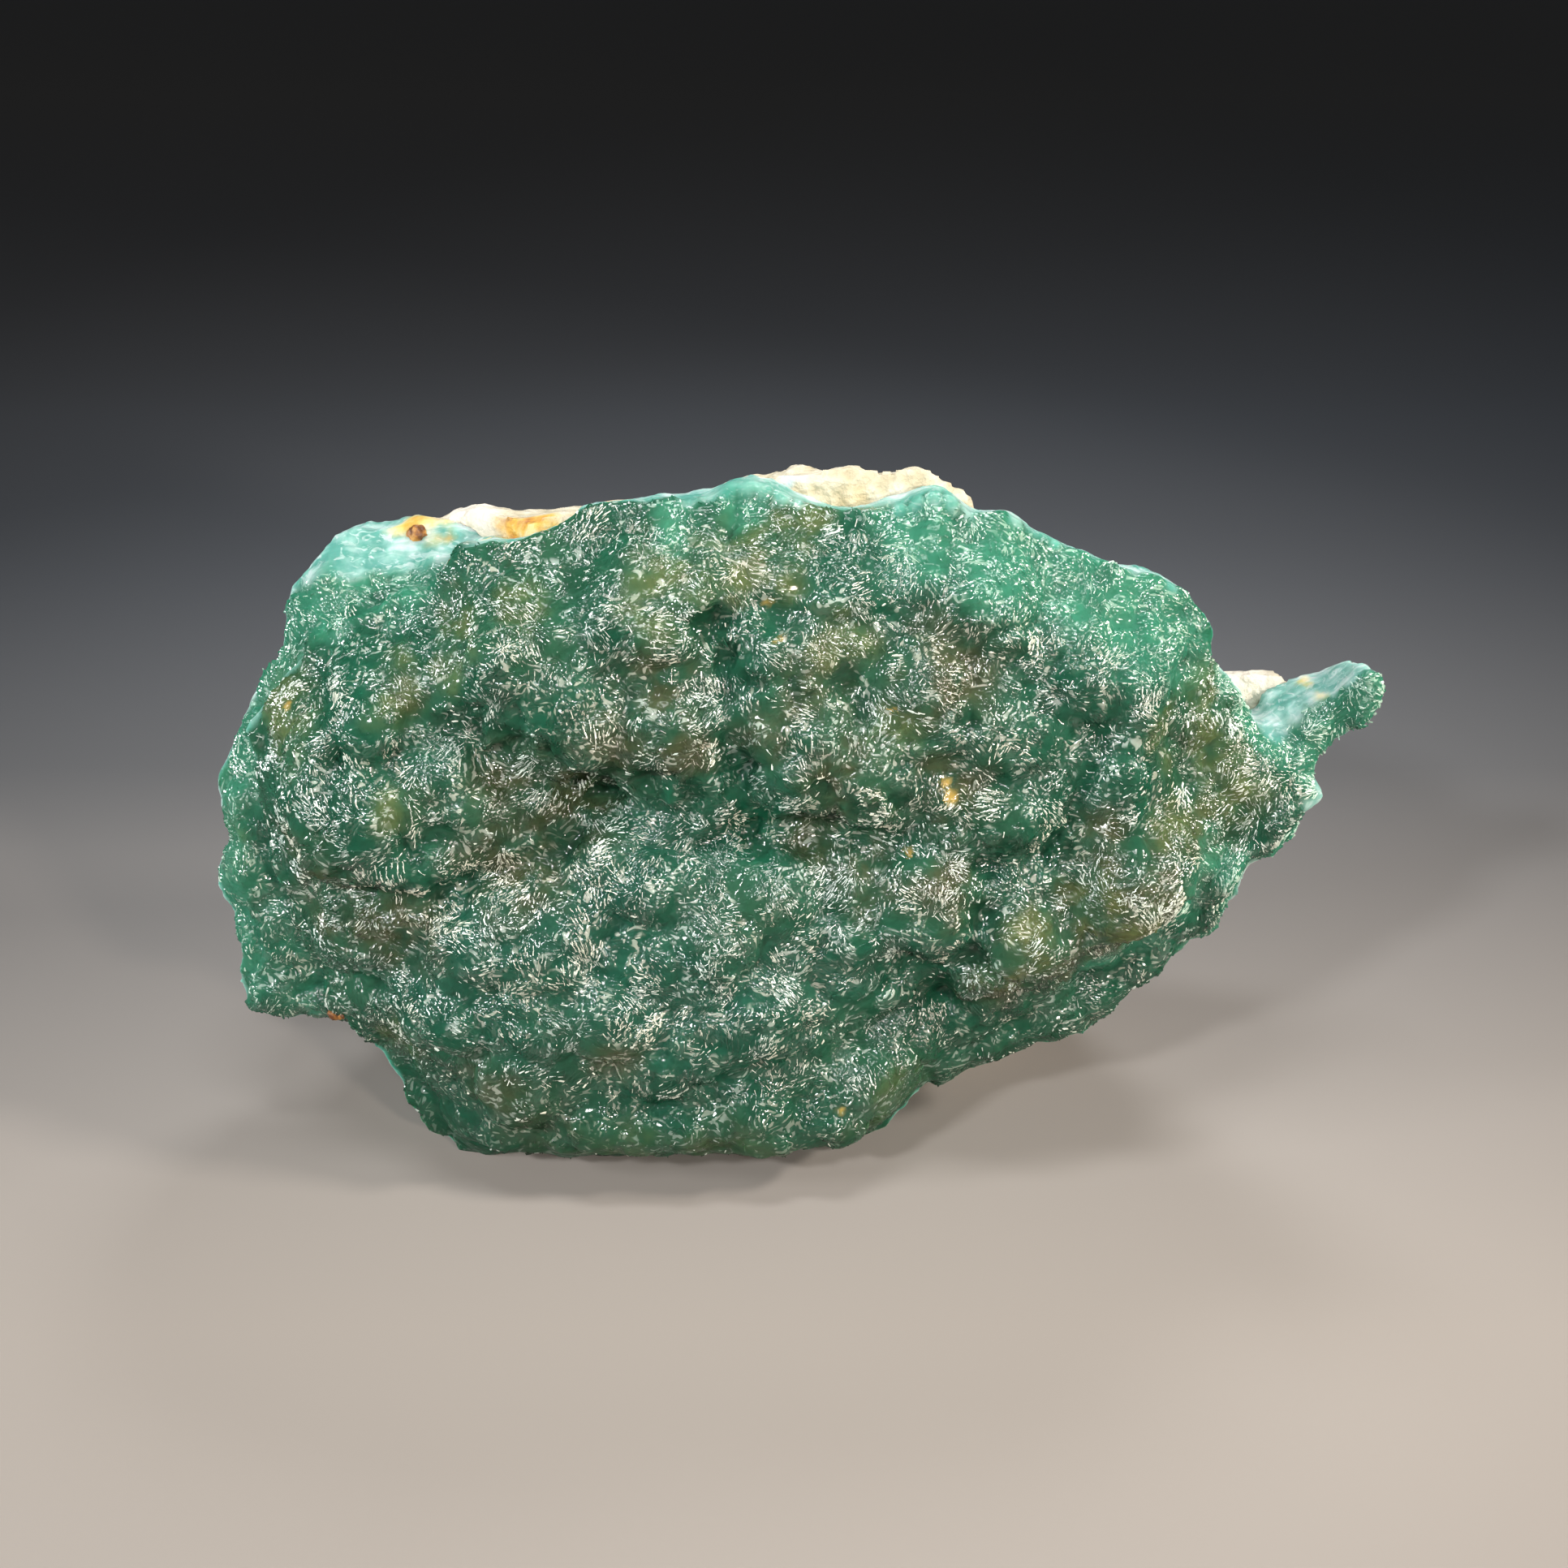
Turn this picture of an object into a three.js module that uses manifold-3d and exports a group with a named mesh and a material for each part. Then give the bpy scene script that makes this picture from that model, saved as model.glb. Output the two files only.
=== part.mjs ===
// A hand specimen of green adamite: a knobbly crust of grown-together crystal clusters on a cream, iron-stained
// piece of rock. It stands on a flat break of the rock. Millimetres, +X to the right, +Y away from the viewer,
// +Z up. The crystal face looks towards -Y and leans back a little.
//
// Both pieces are relief slabs: an outline in the X-Z plane, a front surface y = front(x, z) and a back surface
// y = back(x, z). The rock's front surface follows the crust's back surface with a hair of clearance.
import * as THREE from "three";
import { mergeVertices } from "three/addons/utils/BufferGeometryUtils.js";
import Module from "manifold-3d";

const wasm = await Module();
wasm.setup();

// Driving dimensions
const LEAN = 0.18; // how far the crystal face leans back for each millimetre of height
const RIM_Y = 0.5; // the front crust's rim at the foot
const CLEARANCE = 0.3; // between crust and rock
const EDGE_STEP = 1.0; // length of a straight piece of a broken outline
const EDGE_WANDER = 0.16; // how far a broken outline strays from a smooth one
const EDGE_LEVELS = [[0, 0], [0.4, 0], [2.0, 0.35], [4.0, 0.7], [0, 0.8]]; // behind the rim, drawn in by
const HORN_X = 18.4; // from here the crust is a narrow horn, which draws in less
const HORN_TIP = [20.2, 1.2, 0.25]; // its tip slopes down to its back: from this x, over this width, how steeply
const THINNEST_SEAM = 0.8; // of the crust's rim, at its back
const THINNEST_ROCK = 0.9;
const NEAR_Y = -15;
const FAR_Y = 30;

// Front crust
const CROWN_HEIGHT = 1.4; // the face rises this much from its rim
const CROWN_WIDTH = 2.6; // over this distance in from the rim
const UNDERSIDE = 1.1; // the face overhangs its foot by this much for each millimetre of height
const MASS_BLEND = 0.5; // how softly two broad masses meet
const NODULE_BLEND = 0.16; // how softly two nodules meet
const KNOB_SPACING = 1.5;
const KNOB_HEIGHT = 0.3;

// Older crust behind it, seen past the front crust's rim as flanges, a ledge and a horn
const LEDGE_CROWN = 0.9;
const LEDGE_CROWN_WIDTH = 1.2;

// Grid cells of the surfaces
const FACE_CELL = 0.68;
const LEDGE_CELL = 0.9;
const SEAM_CELL = 2.4;
const ROCK_CELL = 1.2;

// Outlines, as [x, z] from the lower left, counter-clockwise as the viewer sees them
const FRONT_OUTLINE = [
  [-17.6, 6.1], [-16.9, 5.7], [-15.3, 3.3], [-13.9, 0.8], [-12.8, -0.3], [-2.4, -0.3], [1.1, 0.2],
  [4.2, 1.0], [5.9, 3.2], [9.0, 4.7], [10.7, 6.3], [13.4, 8.5], [15.5, 10.0], [17.2, 12.0], [16.0, 14.0],
  [14.9, 16.2], [15.3, 18.7], [15.4, 20.7], [14.5, 22.0], [12.7, 22.7], [9.8, 23.8], [8.3, 24.5],
  [6.0, 25.1], [3.6, 25.2], [2.1, 24.9], [0.4, 25.4], [-1.0, 26.0], [-1.9, 25.9], [-3.6, 25.3],
  [-5.4, 25.2], [-7.1, 25.0], [-7.9, 24.3], [-9.2, 24.0], [-10.4, 24.0], [-11.5, 23.5], [-12.1, 22.9],
  [-12.5, 22.1], [-15.5, 21.5], [-17.0, 20.6], [-18.2, 19.0], [-19.8, 17.0], [-19.3, 14.0], [-19.0, 10.4],
  [-17.9, 7.8],
];
const OLDER_OUTLINE = [
  [-18.2, 4.7], [-14.0, 3.6], [-6.0, 3.0], [2.0, 3.0], [6.6, 2.4], [9.4, 3.9], [12.3, 4.9], [14.3, 6.8],
  [15.6, 8.2], [16.7, 8.5], [17.0, 9.4], [17.8, 10.7], [18.0, 11.4], [19.2, 12.3], [19.6, 13.2], [20.1, 14.0],
  [20.0, 15.6], [20.7, 16.2], [21.5, 16.9], [21.9, 17.8], [21.9, 18.7], [21.4, 18.8], [20.6, 18.0],
  [19.6, 17.4], [18.7, 16.9], [18.0, 16.6], [17.2, 17.8], [15.7, 19.5], [14.6, 20.5], [8.0, 20.5],
  [-4.0, 20.5], [-9.6, 22.3], [-10.8, 23.6], [-12.1, 23.9], [-13.8, 24.0], [-15.8, 23.7], [-17.0, 23.2],
  [-17.8, 22.6], [-18.4, 21.7], [-18.8, 20.4], [-19.0, 19.1], [-20.3, 17.4], [-21.2, 15.7], [-21.9, 14.4],
  [-21.6, 11.8], [-22.4, 10.3], [-21.7, 9.1], [-21.5, 7.6], [-21.8, 6.2], [-21.5, 4.8], [-19.1, 4.4],
];
const ROCK_OUTLINE = [
  [-14.6, -3], [9.6, -3], [10.6, 1.6], [13.6, 3.8], [16.0, 7.2], [18.2, 10.6], [19.8, 13.8],
  [19.9, 15.8], [19.9, 17.0], [18.6, 17.4], [17.3, 17.7], [16.1, 17.9], [14.4, 19.6], [11.6, 21.8], [8.4, 23.6],
  [6.9, 25.2], [4.9, 26.1], [2.4, 26.2], [0.2, 26.0], [-1.6, 25.2], [-4.6, 24.3], [-7.6, 24.5], [-10.4, 24.3],
  [-12.6, 24.0], [-14.2, 23.4], [-15.6, 22.3], [-17.2, 20.4], [-18.2, 17.6], [-19.3, 14.2], [-19.6, 10.6],
  [-18.8, 7.2], [-17.4, 4.0], [-15.8, 1.4],
];

// Broad masses of the front crust: x, z, half-width, half-height, how far it swells, turn in degrees
const MASSES = [
  [-6.0, 20.2, 8.6, 4.6, 1.9, -14],
  [-13.6, 15.2, 5.8, 5.4, 1.6, 0],
  [-5.6, 9.0, 9.2, 6.0, 2.5, 6],
  [-3.0, 3.6, 9.5, 3.8, 1.9, 0],
  [3.4, 16.6, 7.0, 4.2, 1.7, -8],
  [5.2, 11.2, 4.6, 4.0, 1.6, 0],
  [8.2, 20.6, 7.6, 3.6, 1.0, -24],
  [11.4, 12.6, 4.6, 5.0, 1.3, 0],
  [1.6, 23.0, 6.0, 3.0, 0.7, 0],
];

// Round nodules grown on the masses: x, z, radius, height
const NODULES = [
  [-4.4, 23.2, 2.3, 0.9], [-9.4, 22.0, 2.5, 0.7], [-14.6, 19.2, 1.9, 0.7], [-17.6, 17.4, 1.8, 0.7],
  [-17.2, 14.4, 1.7, 0.7], [-14.8, 15.4, 2.1, 0.8], [-11.6, 16.2, 1.6, 0.7], [-13.4, 12.6, 1.8, 0.7],
  [-15.8, 10.0, 1.7, 0.7], [-7.6, 19.0, 2.0, 0.7], [-3.9, 18.4, 1.7, 0.8], [-3.6, 15.6, 1.6, 0.7],
  [0.1, 20.6, 1.5, 0.7], [2.4, 20.8, 1.3, 0.5], [0.8, 17.8, 1.9, 0.9], [2.9, 16.4, 1.3, 0.7],
  [5.0, 19.6, 2.1, 0.8], [8.0, 18.4, 1.8, 0.7], [6.4, 15.6, 1.3, 0.7], [8.4, 14.6, 1.6, 0.7],
  [11.6, 20.4, 2.3, 0.7], [7.2, 22.9, 2.2, 0.7], [1.3, 24.2, 2.2, 0.7], [12.8, 17.2, 1.8, 0.7],
  [5.4, 12.4, 2.0, 0.8], [-5.0, 13.4, 1.8, 0.8], [-0.2, 12.6, 1.7, 0.7], [2.6, 11.4, 1.5, 0.7],
  [-8.4, 11.0, 1.7, 0.7], [-11.2, 10.8, 1.7, 0.7], [-2.9, 10.4, 1.9, 0.7], [9.0, 9.8, 1.9, 1.0],
  [12.3, 12.0, 1.7, 0.8], [14.9, 13.2, 1.5, 0.7], [-12.6, 7.6, 1.9, 0.7], [-9.4, 7.4, 1.9, 0.7],
  [-6.4, 8.0, 1.7, 0.7], [-10.4, 4.6, 1.9, 0.7], [-4.0, 6.8, 1.9, 0.7], [-0.8, 7.6, 1.7, 0.7],
  [2.4, 7.6, 1.5, 0.7], [-11.4, 1.9, 1.8, 0.7], [-7.4, 3.0, 1.6, 0.7], [-4.4, 2.7, 1.7, 0.7],
  [-1.0, 3.0, 2.0, 0.7], [2.5, 3.8, 1.8, 0.7], [4.6, 5.6, 1.3, 0.5],
];

// Deep creases between masses: how deep, half-width, then points [x, z]
const CREASES = [
  [1.1, 1.0, [-11.7, 18.5], [-10.0, 17.1], [-7.7, 15.9], [-6.2, 14.9], [-8.0, 13.4], [-12.1, 12.2], [-16.9, 11.8]],
  [0.9, 0.9, [-6.2, 14.9], [-3.0, 13.9], [-0.8, 14.4], [1.0, 14.5], [3.9, 14.2], [8.4, 13.0], [10.2, 14.8]],
  [0.7, 0.8, [-2.5, 22.4], [-2.0, 19.7], [-1.6, 17.1], [-0.6, 14.4]],
  [0.9, 1.1, [4.6, 9.6], [6.2, 7.4], [6.4, 5.4]],
  [0.5, 0.8, [10.4, 14.6], [10.7, 11.6], [11.6, 8.8]],
];

// Flat breaks of the rock's back: y at the middle of the foot, slope to the right, slope upward
const BREAKS = [
  [15.4, 0.06, -0.2], [13.4, -0.1, 0.42], [24.0, 0.8, -0.12], [22.0, -0.62, -0.2], [28.5, -0.14, -0.78],
  [18.6, -0.34, 0.1], [27.5, 0.34, -0.62],
];

// Small repeatable random numbers, from whole-number places
function chance(i, j, salt) {
  let n = Math.imul(i, 374761393) + Math.imul(j, 668265263) + Math.imul(salt, 1442695041);
  n = Math.imul(n ^ (n >>> 13), 1274126177);
  return ((n ^ (n >>> 16)) >>> 0) / 4294967296;
}

const mix = (a, b, t) => a + (b - a) * t;
const smooth = (t) => THREE.MathUtils.smoothstep(t, 0, 1);

// Soft wandering value from -1 to 1, with hills about one unit across
function wander(x, z, salt) {
  const i = Math.floor(x);
  const j = Math.floor(z);
  const u = smooth(x - i);
  const v = smooth(z - j);
  const low = mix(chance(i, j, salt), chance(i + 1, j, salt), u);
  const high = mix(chance(i, j + 1, salt), chance(i + 1, j + 1, salt), u);
  return 2 * mix(low, high, v) - 1;
}

// Closely packed round knobs, one in each cell of a loose grid: 0 in the creases, up to about 1 on a knob
function knobs(x, z, spacing, salt) {
  const ci = Math.floor(x / spacing);
  const cj = Math.floor(z / spacing);
  let best = 0;
  for (let i = ci - 1; i <= ci + 1; i++) {
    for (let j = cj - 1; j <= cj + 1; j++) {
      const dx = x - (i + 0.2 + 0.6 * chance(i, j, salt)) * spacing;
      const dz = z - (j + 0.2 + 0.6 * chance(i, j, salt + 1)) * spacing;
      const radius = spacing * mix(0.55, 0.85, chance(i, j, salt + 2));
      const inside = 1 - (dx * dx + dz * dz) / (radius * radius);
      const height = mix(0.6, 1, chance(i, j, salt + 3));
      if (inside > 0) best = Math.max(best, height * Math.sqrt(inside));
    }
  }
  return best;
}

// Height of round-topped caps that meet in creases; each is x, z, half-width, half-height, height, turn
function caps(x, z, list, blend) {
  let sum = 0;
  for (const [cx, cz, halfWidth, halfHeight, height, turn] of list) {
    const a = THREE.MathUtils.degToRad(turn);
    const dx = (x - cx) * Math.cos(a) + (z - cz) * Math.sin(a);
    const dz = (z - cz) * Math.cos(a) - (x - cx) * Math.sin(a);
    const inside = 1 - (dx / halfWidth) ** 2 - (dz / halfHeight) ** 2;
    if (inside > 0) sum += Math.exp((height * Math.sqrt(inside)) / blend) - 1;
  }
  return blend * Math.log(1 + sum);
}

const ROUND_NODULES = NODULES.map(([x, z, radius, height]) => [x, z, radius, radius, height, 0]);

// Distance from a point to the straight piece between two others
function pieceDistance(x, z, [ax, az], [bx, bz]) {
  const length2 = (bx - ax) ** 2 + (bz - az) ** 2;
  const t = THREE.MathUtils.clamp(((x - ax) * (bx - ax) + (z - az) * (bz - az)) / length2, 0, 1);
  return Math.hypot(x - mix(ax, bx, t), z - mix(az, bz, t));
}

// Depth of the creases
function creases(x, z) {
  let deepest = 0;
  for (const [depth, halfWidth, ...points] of CREASES) {
    for (let k = 0; k + 1 < points.length; k++) {
      const near = 1 - pieceDistance(x, z, points[k], points[k + 1]) / halfWidth;
      deepest = Math.max(deepest, depth * smooth(near));
    }
  }
  return deepest;
}

// Distance from a point to the nearest side of an outline
function rimDistance(x, z, outline) {
  return Math.min(...outline.map((a, k) => pieceDistance(x, z, a, outline[(k + 1) % outline.length])));
}

// The leaning plane that the front crust's rim lies in
const rimPlane = (z) => RIM_Y + LEAN * z;

// Front of the younger, front crust
function frontFace(x, z) {
  const inward = smooth(rimDistance(x, z, FRONT_OUTLINE) / CROWN_WIDTH);
  const crown = inward * CROWN_HEIGHT + mix(0.2, 1, inward) * caps(x, z, MASSES, MASS_BLEND);
  const nodules = caps(x, z, ROUND_NODULES, NODULE_BLEND) + KNOB_HEIGHT * knobs(x, z, KNOB_SPACING, 31);
  const face = rimPlane(z) - crown - mix(0.45, 1, inward) * (nodules - creases(x, z));
  return Math.max(face, RIM_Y - 0.15 - UNDERSIDE * z - 0.4 * nodules);
}

// Front of the older crust: a little behind the rim of the front crust
function olderFace(x, z) {
  const inward = smooth(rimDistance(x, z, OLDER_OUTLINE) / LEDGE_CROWN_WIDTH);
  const setBack = x < 0 ? mix(1.9, 2.2, smooth((z - 8) / 12)) : 1.1;
  const brokenTop = x < -9 ? 2.3 * smooth((z - 21.2) / 2.6) : 0; // the ledge's broken top slopes back
  const hornScoop = 1.5 * Math.exp(-(((x - 18.6) / 1.5) ** 2) - ((z - 16.9) / 1.9) ** 2);
  const nodules = 0.6 * knobs(x, z, 2.6, 51) + KNOB_HEIGHT * knobs(x, z, KNOB_SPACING, 71);
  return rimPlane(z) + setBack + brokenTop + hornScoop - inward * LEDGE_CROWN - mix(0.4, 0.9, inward) * nodules;
}

// Back of both crusts, where they grew on the rock: thin along the top, thinnest beside the ledge, and thick at
// the left end and the horn
function seam(x, z) {
  const left = smooth((-8.5 - x) / 5);
  const right = smooth((x - 13) / 4);
  const top = smooth((z - 18) / 5) * (1 - left) * (1 - right);
  const besideLedge = smooth((x + 12.6) / 2.4) * smooth((-4.5 - x) / 2.4) * smooth((z - 21) / 2.4);
  const thickness = mix(3.3, 1.5, top) + 1.6 * left + 0.9 * right - 1.2 * besideLedge;
  return rimPlane(z) + Math.max(thickness, THINNEST_SEAM);
}

// Front of the rock: the seam, drawn back at the lower right, where the crust hangs out over a hollow
function rockFront(x, z) {
  const low = 1 - smooth((z - 2) / 5);
  const undercut = low * (THREE.MathUtils.clamp(x - 3.2, 0, 8) * 0.62 + THREE.MathUtils.clamp(-13 - x, 0, 4) * 0.9);
  return seam(x, z) + CLEARANCE + undercut;
}

// Back of the rock: flat breaks at angles to each other, rough and chipped
function rockBack(x, z) {
  const broken = Math.min(...BREAKS.map(([y, right, up]) => y + right * x + up * z));
  const rough = 0.8 * wander(x / 3.8 + 0.3, z / 3.2, 93) + 0.4 * wander(x / 2.2, z / 2, 95);
  const chips = 1.2 * smooth((wander(x / 5.5 + 0.4, z / 4.6, 97) - 0.1) * 8);
  return Math.max(broken + rough - chips, rockFront(x, z) + THINNEST_ROCK);
}

// Solids

// A geometry as a solid that can be joined and cut
function solidOf(geometry) {
  const bare = geometry.clone();
  bare.deleteAttribute("normal");
  bare.deleteAttribute("uv");
  const merged = mergeVertices(bare, 1e-4);
  return new wasm.Manifold(
    new wasm.Mesh({
      numProp: 3,
      vertProperties: merged.attributes.position.array,
      triVerts: new Uint32Array(merged.index.array),
    }),
  );
}

// A solid as a geometry
function geometryOf(solid) {
  const mesh = solid.getMesh();
  const positions = new Float32Array(mesh.numVert * 3);
  for (let i = 0; i < mesh.numVert; i++) {
    positions.set(mesh.vertProperties.subarray(i * mesh.numProp, i * mesh.numProp + 3), i * 3);
  }
  const geometry = new THREE.BufferGeometry();
  geometry.setAttribute("position", new THREE.BufferAttribute(positions, 3));
  geometry.setIndex(new THREE.BufferAttribute(mesh.triVerts, 1));
  geometry.computeVertexNormals();
  return geometry;
}

// A block with one relief side: from y = surface(x, z) back to FAR_Y, or from NEAR_Y back to the surface
function reliefBlock(surface, cell, surfaceIsFront) {
  const width = 52;
  const height = 34;
  const geometry = new THREE.BoxGeometry(width, 2, height, Math.round(width / cell), 1, Math.round(height / cell));
  geometry.translate(0, 0, height / 2 - 3);
  const place = geometry.attributes.position;
  for (let k = 0; k < place.count; k++) {
    const i = Math.round(place.getX(k) / cell);
    const j = Math.round(place.getZ(k) / cell);
    const x = place.getX(k) + (chance(i, j, 5) - 0.5) * cell * 0.6;
    const z = place.getZ(k) + (chance(i, j, 6) - 0.5) * cell * 0.6;
    const isFront = place.getY(k) < 0;
    const flat = isFront ? NEAR_Y : FAR_Y;
    place.setXYZ(k, x, isFront === surfaceIsFront ? surface(x, z) : flat, z);
  }
  return solidOf(geometry);
}

// The inward direction at the nearest side of an outline
function inwardAt(x, z, outline) {
  let least = Infinity;
  let direction = [0, 0];
  outline.forEach((a, k) => {
    const b = outline[(k + 1) % outline.length];
    const distance = pieceDistance(x, z, a, b);
    const length = Math.hypot(b[0] - a[0], b[1] - a[1]);
    if (distance < least - 1e-6) direction = [-(b[1] - a[1]) / length, (b[0] - a[0]) / length];
    least = Math.min(least, distance);
  });
  return direction;
}

// A block of a broken outline, from front to back, that draws in towards the back by an uneven amount
function outlineBlock(outline, salt) {
  const points = [];
  outline.forEach(([ax, az], k) => {
    const [bx, bz] = outline[(k + 1) % outline.length];
    const length = Math.hypot(bx - ax, bz - az);
    const pieces = Math.max(1, Math.round(length / EDGE_STEP));
    for (let n = 0; n < pieces; n++) {
      const t = n / pieces;
      const stray = n === 0 ? 0 : EDGE_WANDER * (2 * chance(k, n, salt) - 1);
      const x = mix(ax, bx, t) + (stray * (bz - az)) / length;
      const z = mix(az, bz, t) - (stray * (bx - ax)) / length;
      points.push(new THREE.Vector2(x, z));
    }
  });
  const last = EDGE_LEVELS.length - 1;
  const geometry = new THREE.ExtrudeGeometry(new THREE.Shape(points), { depth: last, steps: last, bevelEnabled: false });
  geometry.rotateX(Math.PI / 2);
  const place = geometry.attributes.position;
  for (let k = 0; k < place.count; k++) {
    const x = place.getX(k);
    const z = place.getZ(k);
    const level = last + Math.round(place.getY(k));
    const [back, drawnIn] = EDGE_LEVELS[level];
    const [inX, inZ] = inwardAt(x, z, outline);
    const narrow = x > HORN_X ? 0.25 : 1;
    const uneven = 0.65 + 0.7 * chance(Math.round(x * 20), Math.round(z * 20), salt + level);
    const amount = narrow * drawnIn * uneven;
    const [tipX, tipWidth, tipSlope] = HORN_TIP;
    const tipDrop = tipSlope * Math.max(back, level === last ? 4 : 0) * smooth((x - tipX) / tipWidth);
    const y = level === 0 ? NEAR_Y : level === last ? FAR_Y : rimPlane(z) + back;
    place.setXYZ(k, x + inX * amount, y, z + inZ * amount - tipDrop);
  }
  return solidOf(geometry);
}

// A slab between a front and a back surface, inside an outline
function reliefSlab(outline, salt, front, frontCell, back, backCell) {
  return outlineBlock(outline, salt)
    .intersect(reliefBlock(front, frontCell, true))
    .intersect(reliefBlock(back, backCell, false));
}

// Everything above a height
function above(height) {
  const block = new THREE.BoxGeometry(80, 80, 60);
  block.translate(0, 0, height + 30);
  return solidOf(block);
}

const frontCrust = reliefSlab(FRONT_OUTLINE, 201, frontFace, FACE_CELL, seam, SEAM_CELL);
const olderCrust = reliefSlab(OLDER_OUTLINE, 202, olderFace, LEDGE_CELL, seam, SEAM_CELL);
const crust = frontCrust.add(olderCrust).intersect(above(0));
const rock = reliefSlab(ROCK_OUTLINE, 203, rockFront, SEAM_CELL, rockBack, ROCK_CELL).intersect(above(0));

// The specimen

const adamite = new THREE.MeshStandardMaterial({ color: 0x3f8f6c, roughness: 0.3, metalness: 0 });
const ironStainedRock = new THREE.MeshStandardMaterial({ color: 0xe6d9b4, roughness: 0.85, metalness: 0 });

function piece(name, solid, material) {
  const mesh = new THREE.Mesh(geometryOf(solid), material);
  mesh.name = name;
  return mesh;
}

const specimen = new THREE.Group();
specimen.add(piece("adamite_crust", crust, adamite));
specimen.add(piece("rock_matrix", rock, ironStainedRock));

// The origin is under the middle of the specimen, on the surface that it stands on
const bounds = new THREE.Box3().setFromObject(specimen);
const middle = bounds.getCenter(new THREE.Vector3());
specimen.children.forEach((mesh) => mesh.position.set(-middle.x, -middle.y, -bounds.min.z));

export default specimen;
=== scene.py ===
"""The looks of a green adamite hand specimen: a knobbly crystal crust on cream, iron-stained rock.

The crust and the rock are fine meshes grown from the frame's two solids. The crystals are small rounded blades, set
in sheaves over the crust's knobs. Lengths are in millimetres until each mesh is finished, when it is scaled to
metres.
"""

import math

import bmesh
import bpy
import numpy as np
from mathutils import Matrix, Vector, noise
from mathutils.kdtree import KDTree


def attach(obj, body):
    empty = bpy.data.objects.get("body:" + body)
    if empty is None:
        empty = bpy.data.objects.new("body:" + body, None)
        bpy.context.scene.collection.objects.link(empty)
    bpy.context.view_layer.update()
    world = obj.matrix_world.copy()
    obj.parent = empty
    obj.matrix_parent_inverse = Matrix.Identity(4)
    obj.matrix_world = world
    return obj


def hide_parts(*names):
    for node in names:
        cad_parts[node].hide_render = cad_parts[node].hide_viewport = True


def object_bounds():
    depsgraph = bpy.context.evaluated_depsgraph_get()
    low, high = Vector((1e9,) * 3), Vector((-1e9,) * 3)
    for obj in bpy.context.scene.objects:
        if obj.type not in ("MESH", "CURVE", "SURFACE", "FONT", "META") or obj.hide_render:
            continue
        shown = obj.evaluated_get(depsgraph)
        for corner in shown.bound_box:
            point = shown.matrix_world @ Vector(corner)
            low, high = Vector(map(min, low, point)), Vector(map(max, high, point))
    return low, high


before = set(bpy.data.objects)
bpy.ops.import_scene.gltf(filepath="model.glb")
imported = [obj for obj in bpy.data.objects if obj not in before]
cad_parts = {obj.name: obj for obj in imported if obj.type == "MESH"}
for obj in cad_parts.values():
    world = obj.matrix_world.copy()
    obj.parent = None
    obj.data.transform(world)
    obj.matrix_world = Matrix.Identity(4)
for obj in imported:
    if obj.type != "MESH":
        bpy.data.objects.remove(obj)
cad_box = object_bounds()

MM = 0.001
LEAN = 0.18  # how far the crystal face leans back for each unit of height
BACK_Y = cad_box[1][1] / MM
RIM_Y = BACK_Y - 14.54  # of the front crust's rim at the foot
FACE_NORMAL = np.array([0.0, -1.0, LEAN]) / math.hypot(1.0, LEAN)
rng = np.random.default_rng(29)


# Camera

CAMERA_PLACE = (0.00015, (BACK_Y - 66.34) * MM, 0.0440)
CAMERA_PITCH = math.radians(28)  # looking down by this much
SENSOR = 36.0
FOCAL_OVER_WIDTH = 2050 / 1932  # of the image, from its width in pixels


def place_camera():
    lens = bpy.data.cameras.new("camera")
    lens.sensor_width = SENSOR
    lens.lens = SENSOR * FOCAL_OVER_WIDTH
    lens.clip_start = 0.005
    lens.clip_end = 20
    camera = bpy.data.objects.new("camera", lens)
    camera.location = CAMERA_PLACE
    camera.rotation_euler = (math.pi / 2 - CAMERA_PITCH, 0, 0)
    bpy.context.scene.collection.objects.link(camera)
    bpy.context.scene.camera = camera


# Meshes as arrays


def object_of(name, mesh):
    piece = bpy.data.objects.new(name, mesh)
    bpy.context.scene.collection.objects.link(piece)
    return piece


def fine_points(node, cell):
    """A finely remeshed copy of a frame node: its mesh, in millimetres, and its points."""
    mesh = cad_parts[node].data.copy()
    mesh.transform(Matrix.Scale(1 / MM, 4))
    rough = object_of("rough", mesh)
    remesh = rough.modifiers.new("fine", "REMESH")
    remesh.mode = "VOXEL"
    remesh.voxel_size = cell
    shown = rough.evaluated_get(bpy.context.evaluated_depsgraph_get())
    fine = bpy.data.meshes.new_from_object(shown)
    bpy.data.objects.remove(rough)
    return fine, points_of(fine)


def points_of(mesh):
    points = np.empty(len(mesh.vertices) * 3)
    mesh.vertices.foreach_get("co", points)
    return points.reshape(-1, 3)


def set_points(mesh, points):
    mesh.vertices.foreach_set("co", points.ravel())
    mesh.update()


def normals_of(mesh, points):
    set_points(mesh, points)
    normals = np.empty(len(mesh.vertices) * 3)
    mesh.vertices.foreach_get("normal", normals)
    return normals.reshape(-1, 3)


def neighbour_mean(mesh):
    """A function that gives each point's mean over its neighbours, of an array with one row for each point."""
    ends = np.empty(len(mesh.edges) * 2, dtype=np.int32)
    mesh.edges.foreach_get("vertices", ends)
    a, b = ends[0::2], ends[1::2]
    count = len(mesh.vertices)
    shares = np.bincount(a, minlength=count) + np.bincount(b, minlength=count)
    shares = np.maximum(shares, 1)

    def mean(values):
        columns = values if values.ndim == 2 else values[:, None]
        total = np.stack(
            [
                np.bincount(a, weights=c[b], minlength=count)
                + np.bincount(b, weights=c[a], minlength=count)
                for c in columns.T
            ],
            axis=1,
        )
        total /= shares[:, None]
        return total if values.ndim == 2 else total[:, 0]

    return mean


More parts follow.
